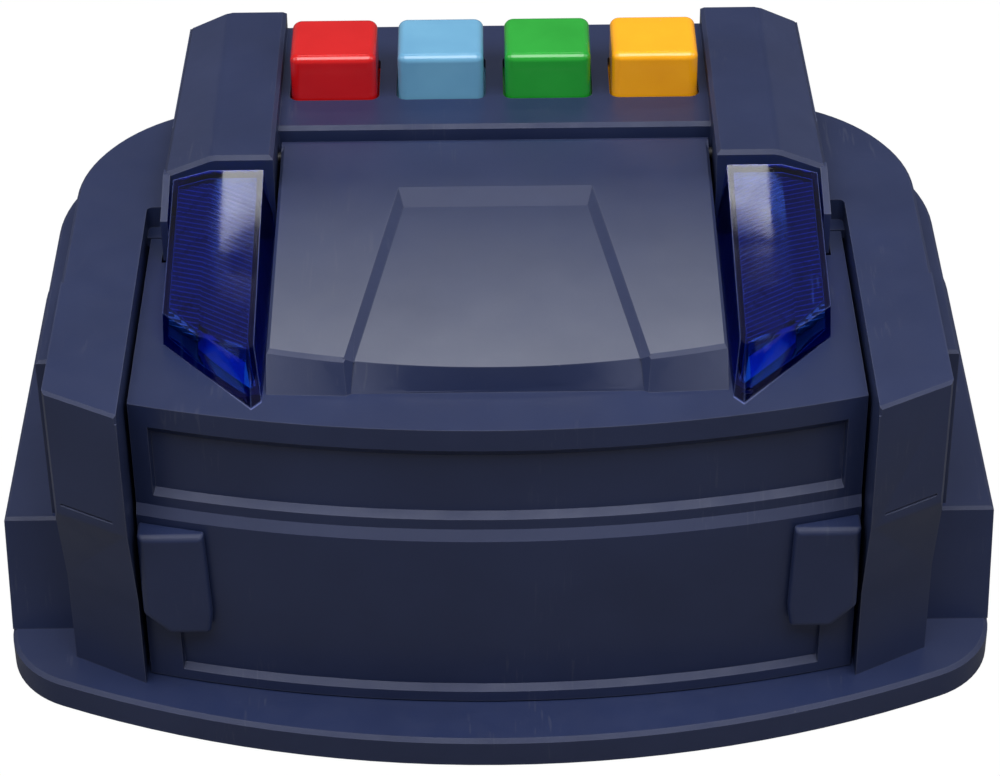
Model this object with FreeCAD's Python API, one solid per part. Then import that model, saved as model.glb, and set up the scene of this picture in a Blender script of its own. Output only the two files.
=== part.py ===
import FreeCAD, Part
import math
import os
from FreeCAD import Vector

# All sizes are millimetres. The case is drawn with x to the player's right, y running back
# from the front edge of the flange, and z up from the table. It is moved back by half its
# depth when it is written, so that the origin lies under its middle.

# Overall case and flange
case_width = 250.0
case_depth = 190.0
wall = 2.5
fit_gap = 0.3
flange_top = 9.0
flange_bow_radius = 270.0
flange_front_corner = 24.0
flange_rear_corner = 40.0
flange_edge_bevel = 1.0

# Feet
foot_proud = 1.0
foot_seat_depth = 1.2
foot_size = 16.0
foot_pad_wall = 2.0
foot_side_inset = 29.0
foot_front = 44.0
foot_rear_inset = 24.0

# Stepped tiers of the housing
wing_front = 44.5
wing_lean = 6.5
wing_top = 40.0
wing_step = 12.0
belt_front = 53.0
belt_drop = 11.0
belt_rear_step = 29.0
belt_rear_corner = 49.5
band_step = 5.5
band_top = 98.0
band_rear_step = 6.0
band_rear_corner = 43.5
tier_edge_bevel = 0.7

# Pillars at the front ends of the band
pillar_width = 18.5
pillar_front = 15.0
pillar_turn = 10.4
pillar_overlap = 8.0
pillar_chin_top = 62.0
pillar_chin_foot = 36.0
pillar_chin_back = 8.0
pillar_edge_bevel = 0.7
slit_height = 1.4
slit_depth = 1.2
slit_inner_margin = 3.5
slit_outer_margin = 1.8
slit_level = 65.0

# Play bay between the pillars
bay_corner = 1.5
mouth_gap = 2.0

# Lid
lid_gap = 1.0
lid_bottom_gap = 0.4
shoulder_drop = 6.0
shoulder_gap = 3.0
notch_gap = 0.5
lid_front = 16.0
lid_bow_radius = 320.0
lid_wall_depth = 4.5
lid_skirt_depth = 12.0
lid_skirt_set_back = 1.6
panel_margin = 4.5
panel_depth = 2.0
panel_top_bevel = 2.6
panel_foot_bevel = 1.3
upper_panel_drop = 6.0
upper_panel_foot = 65.4
ledge_top = 62.5
ledge_foot = 60.0
ledge_proud = 1.7
lower_panel_crease = 38.0
lower_panel_foot = 12.4
lower_panel_depth = 1.6
lower_panel_bevel = 1.4
lower_panel_margin = 9.0

# Hood on the lid
hood_foot = 29.5
hood_crease = 31.0
hood_crease_sweep = 6.8
hood_rise = 8.0
hood_edge_bevel = 0.8
keystone_tower_gap = 1.0
keystone_rear_bevel = 6.0
keystone_rear_half = 24.5
keystone_front_half = 37.0
keystone_depth = 1.8
keystone_side_bevel = 2.4

# Lid hinge
hinge_drop = 11.5
hinge_gap = 1.0
barrel_radius = 4.0
pin_radius = 1.5
pin_running_clearance = 0.05
pin_end_gap = 0.5
pin_in_barrel = 7.0
pin_in_tower = 6.5
pin_boss_size = 8.0

# Towers and key deck
tower_side_gap = 5.0
tower_taper = 1.5
tower_front_set = 20.0
tower_rise = 16.0
tower_facet_width = 12.5
tower_chamfer_drop = 5.0
tower_edge_bevel = 1.0
cheek_length = 14.0
cheek_width = 1.8
cheek_drop = 5.0
deck_gap = 0.5
deck_rear_step = 12.0
deck_drop = 5.5
deck_edge_bevel = 1.0

# Coloured keys
key_colours = ("red", "blue", "green", "yellow")
key_width = 22.5
key_length = 21.0
key_bar = 5.5
key_set_back = 24.5
key_proud = 12.5
key_corner = 2.6
key_crown_round = 2.0
key_gap = 0.5
key_travel = 2.5
key_rim = 1.6
key_rim_height = 2.0
key_wall = 2.0
key_crown_wall = 4.0
key_stem_size = 5.0

# Lamps
lens_hood_gap = 3.3
lens_cheek_gap = 1.0
lens_tower_gap = 3.0
lens_facet_width = 9.2
lens_side_lean = 2.4
lens_nose_width = 2.4
lens_nose_set = 3.0
lens_foot_inner = 25.2
lens_foot_outer = 52.4
lens_front_inner = 41.4
lens_front_crease = 45.9
lens_front_outer = 56.0
lens_rear_drop = 2.0
lens_front_rise = 6.1
lens_outer_fall = 0.29
lens_wall = 1.6
lens_front_wall = 2.6
lamp_board_side_gap = 2.35
lamp_board_length = 22.0
lamp_board_rear_gap = 6.0
lamp_board_thickness = 1.2
diode_size = 5.0
diode_height = 6.0
diode_bevel = 1.25

# Lift tabs
tab_side_gap = 0.4
tab_width = 17.0
tab_top = 58.2
tab_foot = 27.5
tab_step = 34.0
tab_chamfer = 6.0
tab_side_slope = 0.8
tab_stand = 8.8
tab_depth = 14.0
tab_edge_bevel = 1.0
tab_seat_gap = 0.1

# Peg grids
peg_columns = 10
peg_pitch = 8.2
peg_radius = 1.7
peg_sides = 6
grid_margin = 5.0
tray_side_gap = 4.5
tray_front_gap = 1.0
tray_height = 15.0
tray_plate = 9.0
tray_hole_depth = 6.0
tray_rear_gap = 1.0
well_margin = 3.0
well_wall = 2.0
well_floor = 2.0
well_corner = 3.0
target_drop = 5.0
target_rear_gap = 4.0
target_thickness = 7.0
target_hole_depth = 5.0
target_post_size = 6.0
target_post_outset = 1.0

# Circuit board under the keys
board_side_gap = 2.5
board_front_gap = 7.0
board_length = 38.0
board_drop = 10.5
board_thickness = 1.6
board_post_size = 4.0
board_post_inset = 2.2
chip_size = 14.0
chip_height = 2.2
dome_radius = 5.0
dome_crown_radius = 3.0
dome_flat_height = 0.8
dome_sides = 8

# Speaker and its grille
speaker_radius = 25.0
speaker_height = 68.0
speaker_rim = 3.0
speaker_basket = 8.0
speaker_depth = 16.0
magnet_radius = 13.0
grille_count = 7
grille_pitch = 5.5
grille_slot = 2.2
grille_margin = 3.0

# Power switch
switch_side = 56.0
switch_height = 68.0
switch_travel = 4.0
switch_slot_height = 4.5
switch_slot_depth = 2.5
switch_knob = 5.0
switch_knob_gap = 0.2
switch_knob_proud = 1.2
switch_body_width = 15.0
switch_body_height = 8.0
switch_body_depth = 6.0
groove_offsets = (-1.5, 0.0, 1.5)
groove_width = 0.6
groove_depth = 0.5

# Battery well in the base
cell_count = 3
cell_radius = 7.25
cell_length = 50.5
cell_pitch = 15.5
cell_side_gap = 1.0
cell_cap_radius = 2.75
cell_cap_length = 1.2
cell_floor_gap = 0.4
contact_room = 2.2
contact_thickness = 0.4
contact_margin = 1.5
contact_gap = 0.1
well_rear_gap = 0.6
door_thickness = 2.0
door_lip = 3.0
door_gap = 0.4
door_seat_gap = 0.02
door_lug_size = 9.0
door_grip_inset = 4.0
door_grip_width = 2.0
door_grip_depth = 0.8

# Screws
screw_radius = 1.5
screw_head_radius = 2.8
screw_head_height = 2.0
screw_hole_clearance = 0.15
screw_pilot_clearance = 0.05
base_screw_length = 14.0
base_screw_level = 5.0
base_boss_size = 7.0
base_post_size = 9.0
base_screw_side_inset = 7.5
base_screw_front = 64.0
base_screw_rear_inset = 50.0
door_screw_length = 5.5
door_screw_head_height = 1.0
door_screw_head_room = 1.2

# Ribs under the base
rib_thickness = 1.6
rib_pitch = 80.0
rib_foot_gap = 2.0

# Cutting blocks run this far past what they cut, or well past the whole case
over = 1.0
far = 400.0
# Points closer than this count as one place
same_place = 0.01

# Places that follow from the sizes above, from the outside in
half_width = case_width / 2
skin = flange_top - wall
belt_half = half_width - wing_step
belt_top = band_top - belt_drop
belt_back = case_depth - belt_rear_step
band_half = belt_half - band_step
band_back = belt_back - band_rear_step
bay_half = band_half - pillar_width
battery_length = cell_length + cell_cap_length + 2 * contact_room
well_back = case_depth - wall - well_rear_gap - wall
well_front = well_back - battery_length
bay_back = well_front - fit_gap - 2 * wall
shoulder_top = band_top - shoulder_drop
tower_front = bay_back - tower_front_set
tower_outer = bay_half - tower_side_gap
tower_top = band_top + tower_rise
tower_crease = tower_outer - tower_facet_width
deck_front = bay_back + wall + deck_gap
deck_back = case_depth - deck_rear_step
deck_top = tower_top - deck_drop
deck_under = deck_top - wall
console_floor = shoulder_top + fit_gap
ledge_inner = tower_outer - cheek_width
ledge_front = tower_front - shoulder_gap
mouth_back = tower_front + mouth_gap
key_pitch = key_width + key_bar
key_middle = deck_front + key_set_back
key_top = deck_top + key_proud
tower_inner = len(key_colours) * key_pitch / 2
board_half = tower_inner - board_side_gap
board_front = deck_front + board_front_gap
board_back = board_front + board_length
board_top = deck_top - board_drop
stem_foot = board_top + dome_flat_height + key_travel
hinge_back = deck_front - barrel_radius - hinge_gap
hinge_height = tower_top - hinge_drop
hood_half = tower_inner - lid_gap
hood_crease_height = shoulder_top + hood_rise
keystone_rear = tower_front - keystone_tower_gap
lid_half = bay_half - lid_gap
lid_bottom = flange_top + lid_bottom_gap
shoulder_back = tower_front - shoulder_gap
upper_panel_top = shoulder_top - upper_panel_drop
tab_outer = lid_half - tab_side_gap
tab_inner = tab_outer - tab_width
lens_inner = hood_half + lens_hood_gap
lens_outer = ledge_inner - lens_cheek_gap
lens_crease = lens_outer - lens_facet_width
lens_back = tower_front - lens_tower_gap
lens_rear_height = tower_top - lens_rear_drop
lens_front_height = shoulder_top + lens_front_rise
lens_fall = (lens_rear_height - lens_front_height) / (lens_back - lens_front_inner)
lamp_board_back = lens_back - lamp_board_rear_gap
grid_half = peg_columns * peg_pitch / 2 + grid_margin
tray_half = bay_half - tray_side_gap
tray_back = bay_back - tray_rear_gap
tray_top = flange_top + tray_height
target_top = shoulder_top - target_drop
target_middle = bay_back - target_rear_gap - grid_half
switch_middle = switch_side + switch_travel / 2
axis_x = Vector(1, 0, 0)
axis_y = Vector(0, 1, 0)
axis_z = Vector(0, 0, 1)


def box(x0, x1, y0, y1, z0, z1):
    return Part.makeBox(x1 - x0, y1 - y0, z1 - z0, Vector(x0, y0, z0))


def cylinder(radius, height, x, y, z, axis=axis_z):
    return Part.makeCylinder(radius, height, Vector(x, y, z), axis)


def face_of(points):
    return Part.Face(Part.makePolygon(points + points[:1]))


def plan_prism(outline, z0, z1):
    """A straight block with the given plan outline."""
    face = face_of([Vector(x, y, z0) for x, y in outline])
    return face.extrude(Vector(0, 0, z1 - z0))


def side_prism(profile, x0, x1):
    """A straight block with the given outline in side view."""
    face = face_of([Vector(x0, y, z) for y, z in profile])
    return face.extrude(Vector(x1 - x0, 0, 0))


def front_prism(profile, y0, y1):
    """A straight block with the given outline in front view."""
    face = face_of([Vector(x, y0, z) for x, z in profile])
    return face.extrude(Vector(0, y1 - y0, 0))


def mirrored(shape):
    return shape.mirror(Vector(0, 0, 0), axis_x)


def both_sides(shape):
    return [shape, mirrored(shape)]


def joined(shapes):
    shapes = list(shapes)
    return shapes[0].multiFuse(shapes[1:]).removeSplitter()


def picked_edges(shape, wanted):
    """The edges whose two ends both satisfy the test."""
    edges = []
    for edge in shape.Edges:
        ends = [vertex.Point for vertex in edge.Vertexes]
        if len(ends) == 2 and wanted(ends[0], ends[1]):
            edges.append(edge)
    return edges


def rounded(shape, radius, wanted):
    return shape.makeFillet(radius, picked_edges(shape, wanted))


def upright(a, b):
    return abs(a.x - b.x) < same_place and abs(a.y - b.y) < same_place


def front_upright(a, b):
    return upright(a, b) and a.y < case_depth / 2


def rear_upright(a, b):
    return upright(a, b) and a.y > case_depth / 2


def on_level(a, b, z):
    return abs(a.z - z) < same_place and abs(b.z - z) < same_place


def bevelled(shape, size, wanted):
    return shape.makeChamfer(size, picked_edges(shape, wanted))


def square_post(size, x, y, z0, z1):
    return box(x - size / 2, x + size / 2, y - size / 2, y + size / 2, z0, z1)


def ring_points(x, y, z, radius, sides):
    """Corners of a regular polygon that lies level."""
    turns = [2 * math.pi * (number + 0.5) / sides for number in range(sides)]
    return [Vector(x + radius * math.cos(turn), y + radius * math.sin(turn), z) for turn in turns]


def rounded_box(x0, x1, y0, y1, z0, z1, radius):
    return rounded(box(x0, x1, y0, y1, z0, z1), radius, upright)


# Base


def flange_block(inset, z0, z1):
    """The flange's plan shape, drawn in by an inset: bowed front, rounded corners."""
    half = half_width - inset
    radius = flange_bow_radius - inset
    middle = flange_bow_radius
    corner = middle - math.sqrt(radius ** 2 - half ** 2)
    back = case_depth - inset
    bow = Part.Arc(Vector(-half, corner, z0), Vector(0, inset, z0), Vector(half, corner, z0))
    sides = Part.makePolygon([
        Vector(half, corner, z0),
        Vector(half, back, z0),
        Vector(-half, back, z0),
        Vector(-half, corner, z0),
    ])
    wire = Part.Wire([bow.toShape()] + sides.Edges)
    block = Part.Face(wire).extrude(Vector(0, 0, z1 - z0))
    block = rounded(block, flange_front_corner - inset, front_upright)
    return rounded(block, flange_rear_corner - inset, rear_upright)


def foot_places():
    side = half_width - foot_side_inset
    rear = case_depth - foot_rear_inset
    return [(x, y) for x in (-side, side) for y in (foot_front, rear)]


def base_screw_places():
    side = half_width - base_screw_side_inset
    rear = case_depth - base_screw_rear_inset
    return [(x, y) for x in (-side, side) for y in (base_screw_front, rear)]


def battery_room():
    """Inside limits of the battery well: half width, front, back and top."""
    half = cell_count * cell_pitch / 2 + cell_side_gap
    top = foot_proud + door_thickness + 2 * cell_radius + 2 * cell_floor_gap
    return half, well_front, well_back, top


def base_ribs():
    """Stiffening ribs under the base skin, in both directions."""
    z0 = foot_proud + rib_foot_gap
    count = int(half_width / rib_pitch)
    ribs = []
    for step in range(-count, count + 1):
        x = step * rib_pitch
        ribs.append(box(x - rib_thickness / 2, x + rib_thickness / 2, 0, case_depth, z0, skin))
    for step in range(1, int(case_depth / rib_pitch) + 1):
        y = step * rib_pitch
        ribs.append(box(-half_width, half_width, y - rib_thickness / 2, y + rib_thickness / 2, z0, skin))
    return ribs


def door_screw_place():
    """Beside the battery well, half way along it."""
    half, front, back, top = battery_room()
    return half + wall + door_lug_size / 2, (front + back) / 2


def base_tray():
    outer = flange_block(0, foot_proud, flange_top)
    outer = bevelled(outer, flange_edge_bevel, lambda a, b: on_level(a, b, flange_top))
    hollow = flange_block(wall, foot_proud, skin)
    half, front, back, top = battery_room()
    door_top = foot_proud + door_thickness
    well = box(-half - wall, half + wall, front - wall, back + wall, foot_proud, top + wall)
    posts = [square_post(base_post_size, x, y, foot_proud, skin) for x, y in base_screw_places()]
    pad_size = foot_size + 2 * foot_pad_wall
    pads = [square_post(pad_size, x, y, foot_proud, skin) for x, y in foot_places()]
    lug_x, lug_y = door_screw_place()
    door_boss = square_post(door_lug_size, lug_x, lug_y, door_top, skin)
    ribs = [rib.common(hollow) for rib in base_ribs()]
    tray = joined([outer.cut(hollow)] + ribs + posts + pads + [well, door_boss])
    cuts = [
        box(-half, half, front, back, foot_proud, top),
        box(-half - door_lip, half + door_lip, front, back, foot_proud, door_top),
        cylinder(screw_radius + screw_pilot_clearance, door_screw_length, lug_x, lug_y, door_top),
    ]
    for x, y in foot_places():
        cuts.append(square_post(foot_size + 2 * fit_gap, x, y, foot_proud, foot_proud + foot_seat_depth))
    for x, y in base_screw_places():
        cuts.append(cylinder(screw_radius + screw_hole_clearance, flange_top, x, y, foot_proud))
        head_room = base_screw_level - foot_proud
        cuts.append(cylinder(screw_head_radius + fit_gap, head_room, x, y, foot_proud))
    return tray.cut(cuts)


def feet():
    pads = [square_post(foot_size, x, y, 0, foot_proud + foot_seat_depth) for x, y in foot_places()]
    return [bevelled(pad, foot_proud / 2, lambda a, b: on_level(a, b, 0)) for pad in pads]


def base_screws():
    """Pan head screws that go up through the base into the housing's bosses."""
    screws = []
    for x, y in base_screw_places():
        shank = cylinder(screw_radius, base_screw_length, x, y, base_screw_level)
        head = cylinder(screw_head_radius, screw_head_height, x, y, base_screw_level - screw_head_height)
        screws.append(joined([shank, head]))
    return screws


def battery_door():
    """A flat door with a finger grip, held by one screw through the lug at its side."""
    half, front, back, top = battery_room()
    reach = half + door_lip - door_gap
    top_face = foot_proud + door_thickness - door_seat_gap
    plate = box(-reach, reach, front + door_gap, back - door_gap, foot_proud, top_face)
    x, y = door_screw_place()
    lug_half = door_lug_size / 2
    lug = box(reach - over, x + lug_half, y - lug_half, y + lug_half, foot_proud, top_face)
    grip_front = front + door_grip_inset
    grip = box(-half / 2, half / 2, grip_front, grip_front + door_grip_width,
               foot_proud, foot_proud + door_grip_depth)
    hole = cylinder(screw_radius + screw_hole_clearance, door_thickness, x, y, foot_proud)
    head = cylinder(screw_head_radius + fit_gap, door_screw_head_room, x, y, foot_proud)
    return joined([plate, lug]).cut([grip, hole, head])


def door_screw():
    x, y = door_screw_place()
    seat = foot_proud + door_screw_head_room
    shank = cylinder(screw_radius, door_screw_length, x, y, seat)
    head = cylinder(screw_head_radius, door_screw_head_height, x, y, seat - door_screw_head_height)
    return joined([shank, head])


def battery_cells():
    half, front, back, top = battery_room()
    z = foot_proud + door_thickness + cell_floor_gap + cell_radius
    cells = []
    for number in range(cell_count):
        x = (number - (cell_count - 1) / 2) * cell_pitch
        can = cylinder(cell_radius, cell_length, x, front + contact_room, z, axis_y)
        cap_start = front + contact_room + cell_length
        cap = cylinder(cell_cap_radius, cell_cap_length, x, cap_start, z, axis_y)
        cells.append(joined([can, cap]))
    return cells


def battery_contacts():
    """Bent leaf contacts at both ends of the cells."""
    half, front, back, top = battery_room()
    z = foot_proud + door_thickness + cell_floor_gap + cell_radius
    size = cell_radius - contact_margin
    contacts = []
    for number in range(cell_count):
        x = (number - (cell_count - 1) / 2) * cell_pitch
        for start, way in ((front, 1), (back, -1)):
            reach = start + way * (contact_room - contact_gap)
            profile = [
                (start, z - size),
                (start + way * contact_thickness, z - size),
                (reach, z),
                (start + way * contact_thickness, z + size),
                (start, z + size),
            ]
            contacts.append(side_prism(profile, x - size, x + size))
    return contacts


# Housing


def wing_block(inset):
    top = wing_top - inset
    half = half_width - inset
    profile = [
        (wing_front + inset, flange_top),
        (case_depth - inset, flange_top),
        (case_depth - inset, top),
        (wing_front + wing_lean + inset, top),
    ]
    block = side_prism(profile, -half, half)
    return rounded(block, flange_rear_corner - inset, rear_upright)


def belt_block(inset):
    half = belt_half - inset
    front = belt_front + inset
    back = belt_back - inset
    outline = [(-half, front), (half, front), (half, back), (-half, back)]
    block = plan_prism(outline, flange_top, belt_top - inset)
    return rounded(block, belt_rear_corner - inset, rear_upright)


def band_block(inset):
    half = band_half - inset
    front = pillar_front + pillar_turn + pillar_chin_back + wall
    back = band_back - inset
    outline = [(-half, front), (half, front), (half, back), (-half, back)]
    block = plan_prism(outline, flange_top, band_top - inset)
    return rounded(block, band_rear_corner - inset, rear_upright)


def pillar_turn_at(x):
    """How far back the turned pillar face lies at a distance from the middle."""
    return pillar_turn * (x - bay_half) / pillar_width


def pillar_block(inset):
    """One pillar: an upright face, a receding chin and a plain foot, turned in plan."""
    x0 = bay_half + inset
    x1 = band_half - inset
    slant = math.hypot(1, pillar_turn / pillar_width)
    front = pillar_front + pillar_turn_at(x0) + inset * slant
    back = belt_front + pillar_overlap
    profile = [
        (front, band_top - inset),
        (front, pillar_chin_top),
        (front + pillar_chin_back, pillar_chin_foot),
        (front + pillar_chin_back, flange_top),
        (back, flange_top),
        (back, band_top - inset),
    ]
    face = face_of([Vector(x0, y, z) for y, z in profile])
    return face.extrude(Vector(x1 - x0, pillar_turn_at(x1) - pillar_turn_at(x0), 0))


def pillar_slit():
    """A short blind slit across the pillar's face, above its chin."""
    x0 = bay_half + slit_inner_margin
    x1 = band_half - slit_outer_margin
    front = pillar_front + pillar_turn_at(x0)
    profile = [
        (front - over, slit_level - slit_height / 2),
        (front + slit_depth, slit_level),
        (front - over, slit_level + slit_height / 2),
    ]
    face = face_of([Vector(x0, y, z) for y, z in profile])
    return face.extrude(Vector(x1 - x0, pillar_turn_at(x1) - pillar_turn_at(x0), 0))


def band_top_edge(a, b):
    return on_level(a, b, band_top) and a.y + b.y > 2 * belt_front


def pillar_face_edge(a, b):
    """Front edges of a pillar: the top crease and the two long upright edges."""
    front_limit = pillar_front + pillar_turn + pillar_chin_back + over
    return a.y < front_limit and b.y < front_limit and min(a.z, b.z) > pillar_chin_top - over


def housing_mass():
    """The stepped outside of the housing, still solid."""
    wing = bevelled(wing_block(0), tier_edge_bevel, lambda a, b: on_level(a, b, wing_top))
    belt = bevelled(belt_block(0), tier_edge_bevel, lambda a, b: on_level(a, b, belt_top))
    band = bevelled(band_block(0), tier_edge_bevel, band_top_edge)
    pillar = bevelled(pillar_block(0), pillar_edge_bevel, pillar_face_edge)
    return joined([wing, belt, band] + both_sides(pillar))


def bay_walls():
    half = bay_half + wall
    outer = box(-half, half, pillar_front, bay_back + wall, flange_top, band_top - wall)
    return outer.common(joined([band_block(0)] + both_sides(pillar_block(0))))


def recess_ledges():
    """Floor strips beside the towers, level with the lid's shoulders."""
    outer = bay_half + wall
    ledge = box(ledge_inner, outer, ledge_front, bay_back + wall, shoulder_top - wall, shoulder_top)
    return both_sides(ledge)


def housing_bosses():
    top = wing_top - wall / 2
    return [square_post(base_boss_size, x, y, flange_top, top) for x, y in base_screw_places()]


def main_housing():
    mass = housing_mass()
    hollows = [wing_block(wall), belt_block(wall), band_block(wall)] + both_sides(pillar_block(wall))
    shell = mass.cut(hollows)
    half = bay_half + wall
    back_wall = box(-half, half, bay_back, bay_back + wall, flange_top, shoulder_top)
    shell = joined([shell, bay_walls(), back_wall] + housing_bosses())
    ledge_under = shoulder_top - wall
    bay = rounded_box(-bay_half, bay_half, -far, bay_back, flange_top - over, ledge_under, bay_corner)
    mouth = rounded_box(-bay_half, bay_half, -far, mouth_back, ledge_under, far, bay_corner)
    reach = tower_outer + fit_gap
    tower_room = box(-reach, reach, mouth_back - bay_corner, bay_back + wall, ledge_under, far)
    console_room = box(-reach, reach, bay_back + wall - same_place, far, wing_top, far)
    wire_back = deck_back - 2 * wall
    wire_room = box(-tower_inner, tower_inner, deck_front, wire_back, flange_top, wing_top + over)
    shell = shell.cut([bay, mouth, tower_room, console_room, wire_room] + both_sides(pillar_slit()))
    shell = joined([shell] + recess_ledges())
    pilots = []
    for x, y in base_screw_places():
        pilots.append(cylinder(screw_radius + screw_pilot_clearance, base_screw_length, x, y, flange_top))
    return shell.cut(pilots)


# Towers and key deck


def tower_half_at(y, inset):
    """Outer face of a tower, which draws in slightly towards the back."""
    share = (y - tower_front) / (deck_back - tower_front)
    return tower_outer - tower_taper * share - inset


def tower_section(y, inset, floor):
    outer = tower_half_at(y, inset)
    inner = tower_inner + inset
    top = tower_top - inset
    return [
        Vector(inner, y, floor),
        Vector(outer, y, floor),
        Vector(outer, y, top - tower_chamfer_drop),
        Vector(tower_crease, y, top),
        Vector(inner, y, top),
    ]


def tower_block(inset, floor):
    sections = []
    for y in (tower_front + inset, deck_back - inset):
        points = tower_section(y, inset, floor)
        sections.append(Part.makePolygon(points + points[:1]))
    return Part.makeLoft(sections, True, True)


def tower_cheek():
    """A thin wall that runs forward beside the lamp from the tower's outer face."""
    profile = [
        (tower_front - cheek_length, console_floor),
        (tower_front + wall, console_floor),
        (tower_front + wall, tower_top - tower_chamfer_drop),
        (tower_front, tower_top - tower_chamfer_drop),
        (tower_front - cheek_length, tower_top - tower_chamfer_drop - cheek_drop),
    ]
    return side_prism(profile, ledge_inner, tower_outer)


def deck_block(inset, floor, front_wall):
    half_front = tower_half_at(deck_front, inset)
    half_back = tower_half_at(deck_back, inset)
    front = deck_front + front_wall
    back = deck_back - inset
    outline = [(-half_front, front), (half_front, front), (half_back, back), (-half_back, back)]
    return plan_prism(outline, floor, deck_top - inset)


def key_centres():
    count = len(key_colours)
    return [(number - (count - 1) / 2) * key_pitch for number in range(count)]


def board_post_places():
    rows = (board_front + board_post_inset, board_back - board_post_inset)
    return [(side * (board_half - board_post_inset), y) for side in (-1, 1) for y in rows]


def tower_top_edge(a, b):
    """The edges round a tower's creased top."""
    return min(a.z, b.z) > tower_top - tower_chamfer_drop - over / 2


def deck_front_edge(a, b):
    return on_level(a, b, deck_top) and a.y + b.y < 2 * deck_front + over


def console_shell():
    """Towers, cheeks and deck as one hollow moulding, open below."""
    tower = bevelled(tower_block(0, console_floor), tower_edge_bevel, tower_top_edge)
    deck = bevelled(deck_block(0, wing_top, 0), deck_edge_bevel, deck_front_edge)
    mass = joined([deck] + both_sides(tower) + both_sides(tower_cheek()))
    room = deck_block(wall, wing_top, wall)
    front = deck_front - over
    lower_front = box(-tower_outer, tower_outer, front, deck_front + wall + over, wing_top, console_floor)
    return mass.cut([room, lower_front] + both_sides(tower_block(wall, console_floor + wall)))


def rear_console():
    reach = pin_boss_size / 2
    boss = box(tower_inner, tower_inner + pin_in_tower, hinge_back - reach, hinge_back + reach,
               hinge_height - reach, hinge_height + reach)
    inner_wall = box(tower_inner, tower_inner + wall, deck_front, deck_back - wall,
                     board_top - wall, deck_top)
    post_top = deck_top - wall / 2
    posts = [square_post(board_post_size, x, y, board_top, post_top) for x, y in board_post_places()]
    shell = joined([console_shell()] + both_sides(boss) + both_sides(inner_wall) + posts)
    bore_start = tower_inner - over
    bore = cylinder(pin_radius, pin_in_tower + 2 * over, bore_start, hinge_back, hinge_height, axis_x)
    cuts = both_sides(bore)
    half = key_width / 2 + key_gap
    depth = key_length / 2 + key_gap
    for x in key_centres():
        cuts.append(rounded_box(x - half, x + half, key_middle - depth, key_middle + depth,
                                deck_under - over, deck_top + over, key_corner))
    return shell.cut(cuts + grille_slots() + [switch_slot(deck_back - wall - over, deck_back + over)])


def grille_slots():
    """A round field of slots in the back wall, in front of the speaker."""
    inner = deck_back - wall - over
    field = speaker_radius - grille_margin
    slots = []
    for number in range(grille_count):
        offset = (number - (grille_count - 1) / 2) * grille_pitch
        half = math.sqrt(field ** 2 - offset ** 2)
        low = speaker_height + offset - grille_slot / 2
        slots.append(box(-half, half, inner, deck_back + over, low, low + grille_slot))
    return slots


def switch_slot(front, back):
    """The slot that the switch's knob runs in, between two depths."""
    half = (switch_knob + switch_travel) / 2 + key_gap
    return box(switch_middle - half, switch_middle + half, front, back,
               switch_height - switch_slot_height / 2, switch_height + switch_slot_height / 2)


def hinge_pin():
    start = hood_half - pin_in_barrel + pin_end_gap
    length = tower_inner + pin_in_tower - start
    return cylinder(pin_radius, length, start, hinge_back, hinge_height, axis_x)


# Keys and circuit board


def coloured_key(x):
    """A hollow key cap with a rounded crown, a retaining rim and a stem."""
    foot = deck_under - fit_gap - key_rim_height
    half = key_width / 2
    front = key_middle - key_length / 2
    back = key_middle + key_length / 2
    cap = rounded_box(x - half, x + half, front, back, foot, key_top, key_corner)
    crown = [edge for edge in cap.Edges if edge.BoundBox.ZMin > key_top - same_place]
    cap = cap.makeFillet(key_crown_round, crown)
    rim_half = half + key_rim
    rim = box(x - rim_half, x + rim_half, front - key_rim, back + key_rim, foot, foot + key_rim_height)
    room_half = half - key_wall
    room = box(x - room_half, x + room_half, front + key_wall, back - key_wall,
               foot, key_top - key_crown_wall)
    stem = square_post(key_stem_size, x, key_middle, stem_foot, key_top - key_wall)
    return joined([joined([cap, rim]).cut(room), stem])


def contact_dome(x):
    """A faceted rubber dome that carries the key's stem and springs it back."""
    foot = ring_points(x, key_middle, board_top, dome_radius, dome_sides)
    crown = ring_points(x, key_middle, stem_foot, dome_crown_radius, dome_sides)
    rings = [Part.makePolygon(points + points[:1]) for points in (foot, crown)]
    return Part.makeLoft(rings, True, True)


def circuit_board():
    bottom = board_top - board_thickness
    board = box(-board_half, board_half, board_front, board_back, bottom, board_top)
    chip = box(-chip_size / 2, chip_size / 2, key_middle - chip_size / 2, key_middle + chip_size / 2,
               bottom - chip_height, bottom)
    return joined([board, chip])


# Speaker and switch


def speaker():
    """A round speaker: rim against the back wall, cone basket and magnet behind it."""
    face_y = deck_back - wall
    profile = [
        (0, face_y),
        (speaker_radius, face_y),
        (speaker_radius, face_y - speaker_rim),
        (magnet_radius, face_y - speaker_basket),
        (magnet_radius, face_y - speaker_depth),
        (0, face_y - speaker_depth),
    ]
    face = face_of([Vector(r, y, speaker_height) for r, y in profile])
    return face.revolve(Vector(0, 0, speaker_height), axis_y, 360)


def switch_body():
    back = deck_back - wall
    half = switch_body_width / 2
    body = box(switch_middle - half, switch_middle + half, back - switch_body_depth, back,
               switch_height - switch_body_height / 2, switch_height + switch_body_height / 2)
    return body.cut(switch_slot(back - switch_slot_depth, back))


def power_switch():
    """The switch's sliding knob, with grip grooves."""
    inner = deck_back - wall - switch_slot_depth + switch_knob_gap
    outer = deck_back + switch_knob_proud
    height = switch_slot_height / 2 - switch_knob_gap
    knob = box(switch_side - switch_knob / 2, switch_side + switch_knob / 2, inner, outer,
               switch_height - height, switch_height + height)
    grooves = []
    for offset in groove_offsets:
        x = switch_side + offset - groove_width / 2
        grooves.append(box(x, x + groove_width, outer - groove_depth, outer + over,
                           switch_height - height, switch_height + height))
    return knob.cut(grooves)


# Lid


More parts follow.
